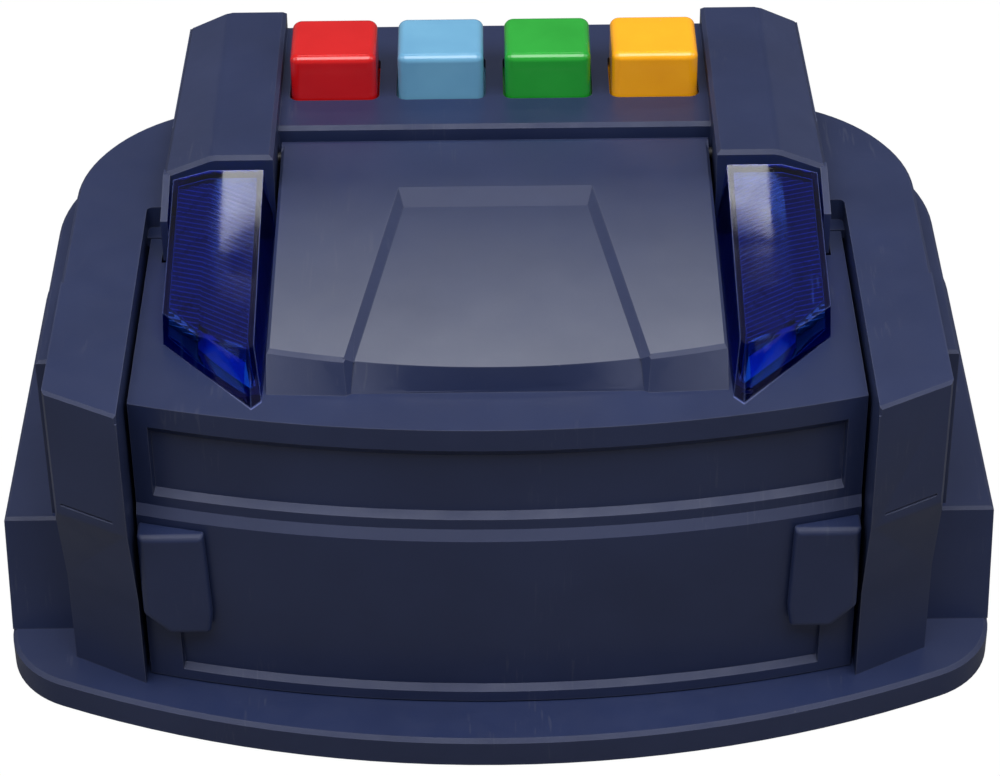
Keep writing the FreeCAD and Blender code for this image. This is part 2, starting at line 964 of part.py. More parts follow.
def lid_turn(profile, half):
    """Turn a side profile about the far upright axis of the bowed front, to a half width."""
    centre = Vector(0, lid_front + lid_bow_radius, 0)
    angle = math.degrees(math.asin(half / lid_bow_radius))
    face = face_of([Vector(0, y, z) for y, z in profile])
    face.rotate(centre, axis_z, -angle)
    return face.revolve(centre, axis_z, 2 * angle)


def lid_front_profile(back, proud):
    """The front wall in side view: plain face above, ledge, and a proud face below."""
    lower = lid_front - ledge_proud
    return [
        (lid_front - proud, shoulder_top),
        (lid_front - proud, ledge_top),
        (lower - proud, ledge_foot),
        (lower - proud, lid_bottom),
        (back, lid_bottom),
        (back, shoulder_top),
    ]


def lid_bow_y(x, depth):
    """Where a line of the bowed front lies, at a distance from the middle and a depth behind the face."""
    return lid_front + lid_bow_radius - math.sqrt((lid_bow_radius - depth) ** 2 - x ** 2)


def lid_front_wall():
    back = lid_front + lid_wall_depth
    wall_block = lid_turn(lid_front_profile(back, 0), lid_half + lid_wall_depth)
    trim = box(-lid_half, lid_half, -far, case_depth, 0, band_top)
    floor = lid_front + panel_depth
    upper = [
        (0, upper_panel_top),
        (lid_front, upper_panel_top),
        (floor, upper_panel_top - panel_top_bevel),
        (floor, upper_panel_foot + panel_foot_bevel),
        (lid_front, upper_panel_foot),
        (0, upper_panel_foot),
    ]
    low_face = lid_front - ledge_proud
    lower = [
        (0, lower_panel_crease),
        (low_face, lower_panel_crease),
        (low_face + lower_panel_depth, lower_panel_foot + lower_panel_bevel),
        (low_face, lower_panel_foot),
        (0, lower_panel_foot),
    ]
    panels = [lid_turn(upper, lid_half - panel_margin), lid_turn(lower, lid_half - lower_panel_margin)]
    return wall_block.common(trim).cut(panels)


def shoulder_outline(inset):
    """Plan of the lid's flat top: bowed front edge, straight sides, and a notch round each cheek."""
    half = lid_half - inset
    corner = lid_bow_y(half, inset)
    z = shoulder_top - wall
    bow = Part.Arc(Vector(-half, corner, z), Vector(0, lid_front + inset, z), Vector(half, corner, z))
    ear_back = ledge_front - notch_gap
    notch_front = tower_front - cheek_length - notch_gap
    notch_outer = tower_outer + notch_gap
    notch_inner = ledge_inner - notch_gap
    side = [
        Vector(half, corner, z),
        Vector(half, ear_back, z),
        Vector(notch_outer, ear_back, z),
        Vector(notch_outer, notch_front, z),
        Vector(notch_inner, notch_front, z),
        Vector(notch_inner, shoulder_back, z),
    ]
    other_side = [Vector(-point.x, point.y, z) for point in reversed(side)]
    return Part.Wire([bow.toShape()] + Part.makePolygon(side + other_side).Edges)


def hood_height(y):
    """The hood rises evenly from its front crease to the top of the hinge barrel."""
    rise = hinge_height + barrel_radius - hood_crease_height
    return hood_crease_height + rise * (y - hood_crease) / (hinge_back - hood_crease)


def hood_block(inset, floor):
    """A block from a straight foot to a swept front crease, drawn in by an inset."""
    half = hood_half - inset
    foot = hood_foot + inset
    crease = hood_crease + inset
    side = crease + hood_crease_sweep
    low = [
        Vector(-half, foot, floor),
        Vector(half, foot, floor),
        Vector(half, hinge_back, floor),
        Vector(-half, hinge_back, floor),
    ]
    sweep = Part.Arc(
        Vector(-half, side, hood_height(side) - inset),
        Vector(0, crease, hood_height(crease) - inset),
        Vector(half, side, hood_height(side) - inset),
    )
    rim = Part.makePolygon([
        Vector(half, side, hood_height(side) - inset),
        Vector(half, hinge_back, hood_height(hinge_back) - inset),
        Vector(-half, hinge_back, hood_height(hinge_back) - inset),
        Vector(-half, side, hood_height(side) - inset),
    ])
    upper = Part.Wire([sweep.toShape()] + rim.Edges)
    return Part.makeLoft([Part.makePolygon(low + low[:1]), upper], True, True)


def keystone_edge(y):
    """How far the keystone field's edge is from the middle at this depth."""
    return keystone_front_half + (keystone_rear_half - keystone_front_half) * (
        (y - hood_crease) / (keystone_rear - hood_crease))


def ruled_block(low, high):
    return Part.makeLoft([Part.makePolygon(points + points[:1]) for points in (low, high)], True, True)


def keystone_side():
    """The slope at the front end of the field's right edge: beside the crease, and down the front."""
    ends = []
    for y in (0, keystone_rear):
        edge = keystone_edge(y)
        inner = edge - keystone_side_bevel
        top = hood_height(y)
        corners = [(edge, top), (inner, top - keystone_depth), (inner, shoulder_top), (edge, shoulder_top)]
        ends.append([Vector(x, y, z) for x, z in corners])
    crease = hood_crease + hood_crease_sweep * (keystone_front_half / hood_half) ** 2
    lean = (crease - hood_foot) / (hood_height(crease) - shoulder_top)
    levels = []
    for z in (shoulder_top, hood_height(hinge_back)):
        front = hood_foot + lean * (z - shoulder_top)
        edge = keystone_edge(front)
        inner = edge - keystone_side_bevel
        corners = [(edge, front), (edge, hinge_back), (inner, hinge_back), (inner, front + keystone_depth)]
        levels.append([Vector(x, y, z) for x, y in corners])
    return ruled_block(*ends).common(ruled_block(*levels))


def keystone_cut():
    """The sunken keystone field, open towards the front of the hood and sloped at its rear and sides."""
    floor_rear = keystone_rear - keystone_rear_bevel
    slope = [
        (floor_rear, hood_height(floor_rear) - keystone_depth),
        (keystone_rear, hood_height(keystone_rear)),
        (keystone_rear, shoulder_top),
        (floor_rear, shoulder_top),
    ]
    nose = keystone_edge(0)
    rear = keystone_rear_half
    plan = [(-nose, 0), (nose, 0), (rear, keystone_rear), (-rear, keystone_rear)]
    field = plan_prism(plan, shoulder_top, far)
    kept = [hood_block(keystone_depth, shoulder_top), side_prism(slope, -nose, nose)]
    return field.cut(kept + both_sides(keystone_side()))


def lid_skirts():
    """Returns behind the front wall and under the sides of the shoulders."""
    start = lid_bow_y(lid_half, 0) + lid_skirt_set_back
    deep = start + lid_skirt_depth
    skirt_back = tower_front - cheek_length - notch_gap
    top = shoulder_top - wall / 2
    profile = [
        (start, lid_bottom),
        (deep, lid_bottom),
        (deep, shoulder_top - lid_skirt_depth),
        (skirt_back, shoulder_top - lid_skirt_depth),
        (skirt_back, top),
        (start, top),
    ]
    return both_sides(side_prism(profile, lid_half - wall, lid_half))


def target_post_places():
    """Beside the outer columns, level with the gap between the last two rows."""
    across = peg_columns * peg_pitch / 2 + target_post_outset
    along = (peg_columns / 2 - 1) * peg_pitch
    return [(x, target_middle + y) for x in (-across, across) for y in (-along, along)]


def hood_top_edge(a, b):
    """Top edges of the hood: both long sides and the front crease."""
    return min(a.z, b.z) > hood_crease_height - over and a.y + b.y < 2 * hinge_back - over


def hinge_barrel():
    return cylinder(barrel_radius, 2 * hood_half, -hood_half, hinge_back, hinge_height, axis_x)


def lid_shell():
    plate = Part.Face(shoulder_outline(0)).extrude(Vector(0, 0, wall))
    hood = bevelled(hood_block(0, shoulder_top - wall), hood_edge_bevel, hood_top_edge)
    mass = joined([plate, lid_front_wall(), hood, hinge_barrel()] + lid_skirts())
    room_limit = box(-hood_half, hood_half, 0, hinge_back - barrel_radius, 0, far)
    room = hood_block(wall, shoulder_top - wall).common(room_limit)
    posts = []
    for x, y in target_post_places():
        posts.append(square_post(target_post_size, x, y, target_top, hood_height(y) - wall / 2))
    shell = joined([mass.cut([room, keystone_cut()])] + posts)
    behind = box(-hood_half, hood_half, hinge_back, far, 0, hinge_height)
    shell = shell.cut(behind.cut(hinge_barrel()))
    bore = pin_radius + pin_running_clearance
    bore_start = hood_half - pin_in_barrel
    return shell.cut(both_sides(cylinder(bore, pin_in_barrel, bore_start, hinge_back, hinge_height, axis_x)))


def lift_tab():
    """A grip tab on the lid's front, with a stepped free side and a cut lower corner."""
    outline = [
        (tab_outer, tab_top),
        (tab_outer, tab_step),
        (tab_outer - tab_chamfer, tab_foot),
        (tab_inner + tab_side_slope, tab_foot),
        (tab_inner, tab_step),
        (tab_inner + tab_side_slope, tab_top),
    ]
    front = lid_bow_y(lid_half, 0) - tab_stand
    block = front_prism(outline, front, front + tab_depth)
    face_limit = front + same_place
    block = bevelled(block, tab_edge_bevel, lambda a, b: max(a.y, b.y) < face_limit)
    seat = lid_front_profile(lid_front + tab_depth, tab_seat_gap)
    return block.cut(lid_turn(seat, lid_half + lid_wall_depth))


# Peg grids


def peg_offsets():
    return [(number - (peg_columns - 1) / 2) * peg_pitch for number in range(peg_columns)]


def peg_hole(x, y, z, depth):
    return face_of(ring_points(x, y, z, peg_radius, peg_sides)).extrude(Vector(0, 0, depth))


def peg_plate(x0, x1, y0, y1, z0, z1, middle, holes_up, depth):
    """A plate with a square field of blind peg holes in its top or its bottom."""
    start = z1 - depth if holes_up else z0
    holes = [peg_hole(x, middle + y, start, depth) for x in peg_offsets() for y in peg_offsets()]
    return box(x0, x1, y0, y1, z0, z1).cut(holes)


def fleet_tray():
    """The player's own grid, with a storage well at each side and a hollow underside."""
    front = lid_bow_y(tray_half, lid_wall_depth) + tray_front_gap
    middle = (front + tray_back) / 2
    plate = peg_plate(-tray_half, tray_half, front, tray_back, flange_top, tray_top,
                      middle, True, tray_hole_depth)
    well = rounded_box(grid_half + well_wall, tray_half - well_margin,
                       front + well_margin, tray_back - well_margin,
                       flange_top + well_floor, tray_top + over, well_corner)
    under = box(-grid_half, grid_half, front + well_wall, tray_back - well_wall,
                flange_top - over, tray_top - tray_plate)
    return plate.cut(both_sides(well) + [under])


def target_grid():
    """The guessing grid under the lid, with its holes towards the player when the lid is up."""
    front = target_middle - grid_half
    back = target_middle + grid_half
    return peg_plate(-grid_half, grid_half, front, back, target_top - target_thickness, target_top,
                     target_middle, False, target_hole_depth)


# Lamps


def lens_top(x, y, inset):
    """Height of the lens: it falls to the front, and its outer facet falls to the side."""
    side = max(0.0, x - lens_crease)
    return lens_rear_height - lens_fall * (lens_back - y) - lens_outer_fall * side - inset


def lens_block(inset, floor):
    """A lamp cover: a creased sloping top, a leaning inner side and a twisted front with a cut nose."""
    ahead = inset * lens_front_wall / lens_wall
    outer = lens_outer - inset
    back = lens_back - inset
    foot_inner = lens_inner - lens_side_lean + inset
    top_inner = lens_inner + inset
    share = (lens_crease - lens_inner) / (lens_outer - lens_inner)
    foot_crease = lens_foot_inner + share * (lens_foot_outer - lens_foot_inner)
    low = [
        (foot_inner, lens_foot_inner + lens_nose_set + ahead),
        (foot_inner + lens_nose_width, lens_foot_inner + ahead),
        (lens_crease, foot_crease + ahead),
        (outer, lens_foot_outer + ahead),
        (outer, back),
        (lens_crease, back),
        (foot_inner, back),
    ]
    high = [
        (top_inner, lens_front_inner + lens_nose_set / 2 + ahead),
        (top_inner + lens_nose_width / 2, lens_front_inner + ahead),
        (lens_crease, lens_front_crease + ahead),
        (outer, lens_front_outer + ahead),
        (outer, back),
        (lens_crease, back),
        (top_inner, back),
    ]
    bottom = [Vector(x, y, floor) for x, y in low]
    top = [Vector(x, y, lens_top(x, y, inset)) for x, y in high]
    faces = [face_of(bottom), face_of(top[:3] + top[5:]), face_of(top[2:6])]
    flat_sides = (3, 4, 5)
    for number in range(len(bottom)):
        after = (number + 1) % len(bottom)
        if number in flat_sides:
            faces.append(face_of([bottom[number], bottom[after], top[after], top[number]]))
        else:
            foot_line = Part.makeLine(bottom[number], bottom[after])
            top_line = Part.makeLine(top[number], top[after])
            faces.append(Part.makeRuledSurface(foot_line, top_line))
    block = Part.makeSolid(Part.makeShell(faces))
    block.fix(same_place, same_place, same_place)
    return block


def lamp_lens():
    return lens_block(0, shoulder_top).cut(lens_block(lens_wall, shoulder_top - lens_wall))


def lamp_board():
    """A small board on the shoulder under the lens, with one lamp on it."""
    x = (lens_inner + lens_outer) / 2
    half = (lens_outer - lens_inner) / 2 - lens_wall - lamp_board_side_gap
    top = shoulder_top + lamp_board_thickness
    front = lamp_board_back - lamp_board_length
    board = box(x - half, x + half, front, lamp_board_back, shoulder_top, top)
    y = (front + lamp_board_back) / 2
    diode = square_post(diode_size, x, y, top, top + diode_height)
    diode = bevelled(diode, diode_bevel, lambda a, b: on_level(a, b, top + diode_height))
    return joined([board, diode])


def write(name, solids):
    """Write one piece, or a group of like pieces, moved so that the origin is under the middle."""
    group = solids if isinstance(solids, list) else [solids]
    shape = Part.makeCompound(group) if len(group) > 1 else group[0]
    shape = shape.copy()
    shape.translate(Vector(0, -case_depth / 2, 0))
    shape.exportStep(os.path.join("parts", name + ".step"))
    print(name, len(shape.Solids), round(shape.Volume), shape.isValid())


def write_pair(name, shape):
    write(name + "_right", shape)
    write(name + "_left", mirrored(shape))


def main():
    os.makedirs("parts", exist_ok=True)
    write("base_tray", base_tray())
    write("feet", feet())
    write("base_screws", base_screws())
    write("battery_door", battery_door())
    write("door_screw", door_screw())
    write("battery_cells", battery_cells())
    write("battery_contacts", battery_contacts())
    write("main_housing", main_housing())
    write("rear_console", rear_console())
    write_pair("hinge_pin", hinge_pin())
    for colour, x in zip(key_colours, key_centres()):
        write("key_" + colour, coloured_key(x))
        write("contact_dome_" + colour, contact_dome(x))
    write("circuit_board", circuit_board())
    write("speaker", speaker())
    write("switch_body", switch_body())
    write("power_switch", power_switch())
    write("lid_shell", lid_shell())
    write_pair("lift_tab", lift_tab())
    write_pair("lamp_lens", lamp_lens())
    write_pair("lamp_board", lamp_board())
    write("fleet_tray", fleet_tray())
    write("target_grid", target_grid())


main()
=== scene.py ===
import math
import bpy
from mathutils import Matrix, Vector


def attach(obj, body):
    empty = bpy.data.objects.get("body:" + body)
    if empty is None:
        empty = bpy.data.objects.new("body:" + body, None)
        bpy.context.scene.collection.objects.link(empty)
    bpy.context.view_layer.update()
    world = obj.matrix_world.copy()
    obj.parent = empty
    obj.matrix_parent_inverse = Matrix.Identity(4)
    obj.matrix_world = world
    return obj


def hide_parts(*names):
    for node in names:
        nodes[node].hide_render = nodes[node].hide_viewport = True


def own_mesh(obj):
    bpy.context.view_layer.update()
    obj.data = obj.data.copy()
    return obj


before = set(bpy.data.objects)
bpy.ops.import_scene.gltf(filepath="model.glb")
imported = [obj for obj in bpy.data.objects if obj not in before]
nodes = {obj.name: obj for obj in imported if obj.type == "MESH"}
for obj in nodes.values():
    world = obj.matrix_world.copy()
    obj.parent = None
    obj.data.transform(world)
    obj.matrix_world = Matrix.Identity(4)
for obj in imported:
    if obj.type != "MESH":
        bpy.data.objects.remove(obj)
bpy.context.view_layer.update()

scene = bpy.context.scene
scene.view_settings.view_transform = "Standard"

MM = 0.001


# Small helpers for material nodes

def new_material(name):
    material = bpy.data.materials.new(name)
    material.use_nodes = True
    tree = material.node_tree
    return material, tree, tree.nodes["Principled BSDF"]


def add_node(tree, kind, **values):
    """A new node, with the given input sockets set by name."""
    node = tree.nodes.new(kind)
    for name, value in values.items():
        node.inputs[name.replace("_", " ")].default_value = value
    return node


def object_place(tree):
    return tree.nodes.new("ShaderNodeTexCoord").outputs["Object"]


def object_facing(tree):
    """The way a surface faces on the piece itself, so that it turns with the lid."""
    return tree.nodes.new("ShaderNodeTexCoord").outputs["Normal"]


def noise(tree, place, scale, detail=2.0, roughness=0.5):
    node = add_node(tree, "ShaderNodeTexNoise", Scale=scale, Detail=detail, Roughness=roughness)
    tree.links.new(place, node.inputs["Vector"])
    return node.outputs["Fac"]


def stretched(tree, place, turn, size):
    """The same place, turned and stretched, for streaks and scratches."""
    node = tree.nodes.new("ShaderNodeMapping")
    node.inputs["Rotation"].default_value = [math.radians(angle) for angle in turn]
    node.inputs["Scale"].default_value = size
    tree.links.new(place, node.inputs["Vector"])
    return node.outputs["Vector"]


def window(tree, value, low, high, bottom=0.0, top=1.0):
    """Maps a value from one range to another, and holds it there outside."""
    node = tree.nodes.new("ShaderNodeMapRange")
    node.inputs["From Min"].default_value = low
    node.inputs["From Max"].default_value = high
    node.inputs["To Min"].default_value = bottom
    node.inputs["To Max"].default_value = top
    tree.links.new(value, node.inputs["Value"])
    return node.outputs["Result"]


def sums(tree, operation, first, second):
    node = tree.nodes.new("ShaderNodeMath")
    node.operation = operation
    for socket, value in zip(node.inputs, (first, second)):
        if isinstance(value, (int, float)):
            socket.default_value = value
        else:
            tree.links.new(value, socket)
    return node.outputs["Value"]


def tinted(tree, share, dark, light):
    """A colour between two, as the share says."""
    node = tree.nodes.new("ShaderNodeMix")
    node.data_type = "RGBA"
    colours = [socket for socket in node.inputs if socket.type == "RGBA"]
    colours[0].default_value = (*dark, 1)
    colours[1].default_value = (*light, 1)
    tree.links.new(share, node.inputs["Factor"])
    return [socket for socket in node.outputs if socket.type == "RGBA"][0]


def layered(tree, share, under, light):
    """A colour socket with a paler colour laid over it where the share is high."""
    node = tree.nodes.new("ShaderNodeMix")
    node.data_type = "RGBA"
    colours = [socket for socket in node.inputs if socket.type == "RGBA"]
    tree.links.new(under, colours[0])
    colours[1].default_value = (*light, 1)
    tree.links.new(share, node.inputs["Factor"])
    return [socket for socket in node.outputs if socket.type == "RGBA"][0]


def edge_share(tree, radius):
    """High along convex and concave edges, from the difference of a rounded normal and the true one."""
    bevel = tree.nodes.new("ShaderNodeBevel")
    bevel.samples = 4
    bevel.inputs["Radius"].default_value = radius
    geometry = tree.nodes.new("ShaderNodeNewGeometry")
    dot = tree.nodes.new("ShaderNodeVectorMath")
    dot.operation = "DOT_PRODUCT"
    tree.links.new(bevel.outputs["Normal"], dot.inputs[0])
    tree.links.new(geometry.outputs["Normal"], dot.inputs[1])
    return window(tree, dot.outputs["Value"], 0.98, 0.75)


def bumped(tree, shader, height, strength, distance):
    node = tree.nodes.new("ShaderNodeBump")
    node.inputs["Strength"].default_value = strength
    node.inputs["Distance"].default_value = distance
    tree.links.new(height, node.inputs["Height"])
    tree.links.new(node.outputs["Normal"], shader.inputs["Normal"])
    return node


def scratches(tree, place, turn, density):
    """A few thin short lines along one direction."""
    along = stretched(tree, place, turn, (density, density * 0.08, density * 0.08))
    lines = window(tree, noise(tree, along, 1.0, 0.0), 0.735, 0.75)
    patches = window(tree, noise(tree, place, 38.0, 1.0), 0.58, 0.66)
    return sums(tree, "MULTIPLY", lines, patches)


def specks(tree, place, scale, size):
    """Sparse dust."""
    node = tree.nodes.new("ShaderNodeTexVoronoi")
    node.inputs["Scale"].default_value = scale
    tree.links.new(place, node.inputs["Vector"])
    dots = window(tree, node.outputs["Distance"], size, size * 0.6)
    rare = window(tree, node.outputs["Color"], 0.90, 0.93)
    return sums(tree, "MULTIPLY", dots, rare)


# Finishes

def painted_sheen_share(tree, place):
    """Painted sheen: high on upward faces of the hood, and more so towards its front, a pale reflection laid
    into the colour.
    """
    parts = tree.nodes.new("ShaderNodeSeparateXYZ")
    tree.links.new(place, parts.inputs["Vector"])
    facing = tree.nodes.new("ShaderNodeSeparateXYZ")
    tree.links.new(object_facing(tree), facing.inputs["Vector"])
    forward = window(tree, parts.outputs["Y"], 0.012, -0.062)
    high = window(tree, parts.outputs["Z"], 0.0950, 0.0985)
    upward = window(tree, facing.outputs["Z"], 0.93, 0.97)
    patchy = window(tree, noise(tree, place, 45.0, 4.0, 0.6), 0.3, 0.7, 0.8, 1.0)
    share = sums(tree, "MULTIPLY", sums(tree, "MULTIPLY", forward, high), upward)
    return sums(tree, "MULTIPLY", share, patchy)


def scuffed_share(tree):
    """High on the slanting lips and chamfers, which handling leaves dull."""
    facing = tree.nodes.new("ShaderNodeSeparateXYZ")
    tree.links.new(object_facing(tree), facing.inputs["Vector"])
    steep = window(tree, facing.outputs["Z"], 0.35, 0.50)
    flat = window(tree, facing.outputs["Z"], 0.97, 0.92)
    return sums(tree, "MULTIPLY", steep, flat)


def moulded_plastic(name, dark, light, roughness, edge_wear_and_highlight, painted_sheen=0.0):
    """Satin moulded plastic: soft tone changes, fine grain, pale edges that are partly wear and partly
    painted highlight, scratches and dust, with a painted sheen on the hood where asked.
    """
    material, tree, shader = new_material(name)
    place = object_place(tree)
    tone = window(tree, noise(tree, place, 30.0, 5.0, 0.6), 0.3, 0.7)
    colour = tinted(tree, tone, dark, light)
    # Painted sheen: a pale grey laid over the upward front of the hood, standing for a reflection.
    if painted_sheen:
        share = sums(tree, "MULTIPLY", painted_sheen_share(tree, place), painted_sheen)
        colour = layered(tree, share, colour, (0.20, 0.21, 0.25))
    first = scratches(tree, place, (0, 0, 35), 1500)
    second = scratches(tree, place, (15, 10, -50), 1200)
    marks = sums(tree, "MULTIPLY", sums(tree, "MAXIMUM", first, second), 0.10)
    marks = sums(tree, "MAXIMUM", marks, sums(tree, "MULTIPLY", specks(tree, place, 260.0, 0.07), 0.8))
    # Pale edges: partly wear, partly a painted highlight along every edge.
    edges = sums(tree, "MULTIPLY", edge_share(tree, 0.7 * MM), edge_wear_and_highlight)
    marks = sums(tree, "MAXIMUM", marks, edges)
    pale = tuple(0.6 * channel + 0.10 for channel in light)
    colour = layered(tree, marks, colour, pale)
    tree.links.new(colour, shader.inputs["Base Color"])
    sheen = noise(tree, place, 110.0, 3.0, 0.6)
    rough = window(tree, sheen, 0.3, 0.7, roughness - 0.04, roughness + 0.06)
    rough = sums(tree, "ADD", rough, sums(tree, "MULTIPLY", scuffed_share(tree), 0.30))
    tree.links.new(rough, shader.inputs["Roughness"])
    bumped(tree, shader, noise(tree, place, 1900.0, 3.0, 0.6), 0.16, 0.08 * MM)
    return material


def glossy_key(name, dark, light):
    """Glossy coloured plastic with faint waves and dust."""
    material, tree, shader = new_material(name)
    place = object_place(tree)
    tone = window(tree, noise(tree, place, 60.0, 3.0), 0.3, 0.7)
    colour = tinted(tree, tone, dark, light)
    dust = sums(tree, "MULTIPLY", specks(tree, place, 700.0, 0.12), 0.5)
    pale = tuple(0.5 * channel + 0.4 for channel in light)
    tree.links.new(layered(tree, dust, colour, pale), shader.inputs["Base Color"])
    smudges = noise(tree, place, 140.0, 4.0, 0.6)
    tree.links.new(window(tree, smudges, 0.3, 0.7, 0.16, 0.26), shader.inputs["Roughness"])
    shader.inputs["Coat Weight"].default_value = 0.35
    shader.inputs["Coat Roughness"].default_value = 0.08
    bumped(tree, shader, noise(tree, place, 90.0, 2.0), 0.12, 0.2 * MM)
    return material


def tinted_lens(name, refraction, dark, light):
    """Clear deep blue plastic with pale edges, partly wear and partly a painted highlight, and a few
    scratches, which lets light in to the ribs.
    """
    material, tree, shader = new_material(name)
    place = object_place(tree)
    tone = window(tree, noise(tree, place, 45.0, 3.0), 0.3, 0.7)
    colour = tinted(tree, tone, dark, light)
    marks = sums(tree, "MULTIPLY", scratches(tree, place, (0, 0, 20), 1300), 0.07)
    # Pale edges: partly wear, partly a painted highlight on the rim.
    marks = sums(tree, "MAXIMUM", marks, sums(tree, "MULTIPLY", edge_share(tree, 0.6 * MM), 0.5))
    colour = layered(tree, marks, colour, (0.34, 0.32, 0.37))
    tree.links.new(colour, shader.inputs["Base Color"])
    smudges = noise(tree, place, 120.0, 3.0, 0.6)
    tree.links.new(window(tree, smudges, 0.3, 0.7, 0.03, 0.10), shader.inputs["Roughness"])
    tree.links.new(window(tree, marks, 0.0, 0.5, 1.0, 0.5), shader.inputs["Transmission Weight"])
    shader.inputs["IOR"].default_value = refraction
    clear = add_node(tree, "ShaderNodeBsdfTransparent", Color=(0.15, 0.28, 0.90, 1))
    path = tree.nodes.new("ShaderNodeLightPath")
    mix = tree.nodes.new("ShaderNodeMixShader")
    tree.links.new(path.outputs["Is Shadow Ray"], mix.inputs["Fac"])
    tree.links.new(shader.outputs["BSDF"], mix.inputs[1])
    tree.links.new(clear.outputs["BSDF"], mix.inputs[2])
    tree.links.new(mix.outputs["Shader"], tree.nodes["Material Output"].inputs["Surface"])
    return material


def plain_finish(name, dark, light, roughness, metallic=0.0):
    """A small inner or fixing piece: slight tone and roughness changes and a fine grain."""
    material, tree, shader = new_material(name)
    place = object_place(tree)
    tone = window(tree, noise(tree, place, 120.0, 4.0, 0.6), 0.3, 0.7)
    tree.links.new(tinted(tree, tone, dark, light), shader.inputs["Base Color"])
    rough = noise(tree, place, 300.0, 3.0, 0.6)
    spread = window(tree, rough, 0.3, 0.7, roughness - 0.06, roughness + 0.08)
    tree.links.new(spread, shader.inputs["Roughness"])
    shader.inputs["Metallic"].default_value = metallic
    bumped(tree, shader, noise(tree, place, 1500.0, 2.0), 0.15, 0.1 * MM)
    return material


# The number after the roughness is how pale the edges are painted, partly wear and partly painted highlight.
navy_case = moulded_plastic("navy_case", (0.0105, 0.0172, 0.055), (0.0140, 0.0220, 0.067), 0.37, 0.22)
# The lid's last number is the strength of its painted sheen.
navy_lid = moulded_plastic("navy_lid", (0.0110, 0.0177, 0.056), (0.0145, 0.0226, 0.068), 0.35, 0.22, 0.45)
grid_plastic = moulded_plastic("grid_plastic", (0.060, 0.085, 0.170), (0.075, 0.100, 0.190), 0.42, 0.08)
key_finishes = {
    "red": glossy_key("red_key", (0.45, 0.003, 0.004), (0.52, 0.006, 0.007)),
    "blue": glossy_key("blue_key", (0.11, 0.29, 0.46), (0.13, 0.33, 0.50)),
    "green": glossy_key("green_key", (0.010, 0.26, 0.022), (0.016, 0.31, 0.030)),
    "yellow": glossy_key("yellow_key", (0.80, 0.32, 0.003), (0.86, 0.37, 0.006)),
}
blue_lens = tinted_lens("blue_lens", 1.49, (0.05, 0.14, 0.64), (0.07, 0.18, 0.74))
# Painted shade: the lens faces that look forward get a darker copy of the same blue.
blue_lens_front_painted_shade = tinted_lens("blue_lens_front_painted_shade", 1.10, (0.012, 0.07, 0.36), (0.020, 0.10, 0.44))
# Painted shade and painted highlight: alternate faces of the same ribs get a dark and a pale copy of one
# plastic.
lens_rib_painted_shade = plain_finish("lens_rib_painted_shade", (0.010, 0.018, 0.035), (0.016, 0.026, 0.050), 0.3)
lens_rib_painted_highlight = plain_finish("lens_rib_painted_highlight", (0.16, 0.18, 0.22), (0.22, 0.24, 0.28), 0.3)
# Painted light: a paler blue sheet behind the lens front stands for light caught inside it.
lens_front_painted_glow = plain_finish("lens_front_painted_glow", (0.04, 0.12, 0.22), (0.07, 0.18, 0.32), 0.3)
foot_rubber = plain_finish("foot_rubber", (0.015, 0.015, 0.016), (0.028, 0.028, 0.030), 0.75)
dome_rubber = plain_finish("dome_rubber", (0.42, 0.42, 0.43), (0.52, 0.52, 0.52), 0.6)
screw_steel = plain_finish("screw_steel", (0.45, 0.45, 0.45), (0.60, 0.60, 0.60), 0.35, 1.0)
contact_metal = plain_finish("contact_metal", (0.60, 0.59, 0.57), (0.75, 0.74, 0.70), 0.28, 1.0)
cell_jacket = plain_finish("cell_jacket", (0.02, 0.02, 0.022), (0.04, 0.04, 0.045), 0.35)
board_laminate = plain_finish("board_laminate", (0.012, 0.11, 0.035), (0.02, 0.16, 0.05), 0.45)
speaker_frame = plain_finish("speaker_frame", (0.015, 0.015, 0.016), (0.035, 0.035, 0.036), 0.5)
black_plastic = plain_finish("black_plastic", (0.012, 0.012, 0.013), (0.025, 0.025, 0.027), 0.45)

finish_of = {
    "base_tray": navy_case, "main_housing": navy_case, "rear_console": navy_case, "battery_door": navy_case,
    "lid_shell": navy_lid, "lift_tab_right": navy_lid, "lift_tab_left": navy_lid,
    "lamp_lens_right": blue_lens, "lamp_lens_left": blue_lens,
    "fleet_tray": grid_plastic, "target_grid": grid_plastic,
    "feet": foot_rubber, "base_screws": screw_steel, "door_screw": screw_steel,
    "hinge_pin_right": black_plastic, "hinge_pin_left": black_plastic,
    "battery_cells": cell_jacket, "battery_contacts": contact_metal,
    "circuit_board": board_laminate, "lamp_board_right": board_laminate, "lamp_board_left": board_laminate,
    "speaker": speaker_frame, "switch_body": black_plastic, "power_switch": black_plastic,
}
for colour, finish in key_finishes.items():
    finish_of["key_" + colour] = finish
    finish_of["contact_dome_" + colour] = dome_rubber


def paint(piece, *finishes):
    piece.data.materials.clear()
    for finish in finishes:
        piece.data.materials.append(finish)


for name, finish in finish_of.items():
    paint(nodes[name], finish)


# Softened copies of the moulded pieces, with the rounding of their edges

shell_edge = 0.7 * MM
console_edge = 0.8 * MM
lid_edge = 0.6 * MM
lid_sharpest = 14.0
tab_edge = 1.2 * MM
lens_edge = 0.6 * MM
lens_front_facing = -0.32
key_edge = 0.3 * MM
dome_edge = 0.15 * MM


def only(piece):
    """Make one object the only selected and active one."""
    bpy.ops.object.select_all(action="DESELECT")
    piece.hide_viewport = False
    piece.select_set(True)
    bpy.context.view_layer.objects.active = piece


def apply(piece, kind, **settings):
    """Add a modifier with these settings and apply it."""
    only(piece)
    modifier = piece.modifiers.new(kind.lower(), kind)
    for name, value in settings.items():
        setattr(modifier, name, value)
    bpy.ops.object.modifier_apply(modifier=modifier.name)


